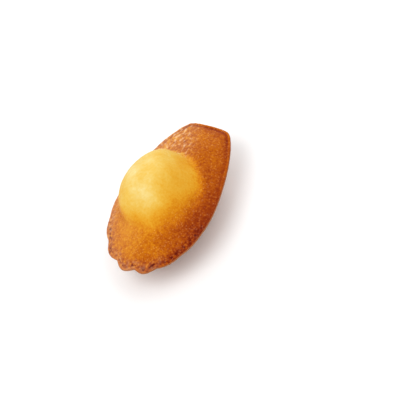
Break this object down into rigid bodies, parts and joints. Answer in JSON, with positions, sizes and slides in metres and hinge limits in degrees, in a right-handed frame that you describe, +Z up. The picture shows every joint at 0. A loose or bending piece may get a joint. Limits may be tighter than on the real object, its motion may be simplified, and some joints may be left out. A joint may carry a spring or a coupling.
{
  "type": "madeleine cake",
  "caption": "Small fluted sponge cake in the form of a scallop, with a scalloped rim and a tall round hump on its golden face.",
  "frame": {"origin": "bottom centre of the bounding box, on the flat spot of the shell side that the cake rests on", "axes": "+Z up, from the fluted shell side to the humped face; +Y along the cake, from the scalloped fan end to the narrow hinge end; +X to the right, seen from above"},
  "size_m": [0.0466, 0.0786, 0.0337],
  "materials": {
    "crust": "satin golden-brown baked crust, paler yellow on the hump and dark brown at the scalloped rim"
  },
  "bodies": {
    "root": {"madeleine": "crust"}
  },
  "joints": []
}
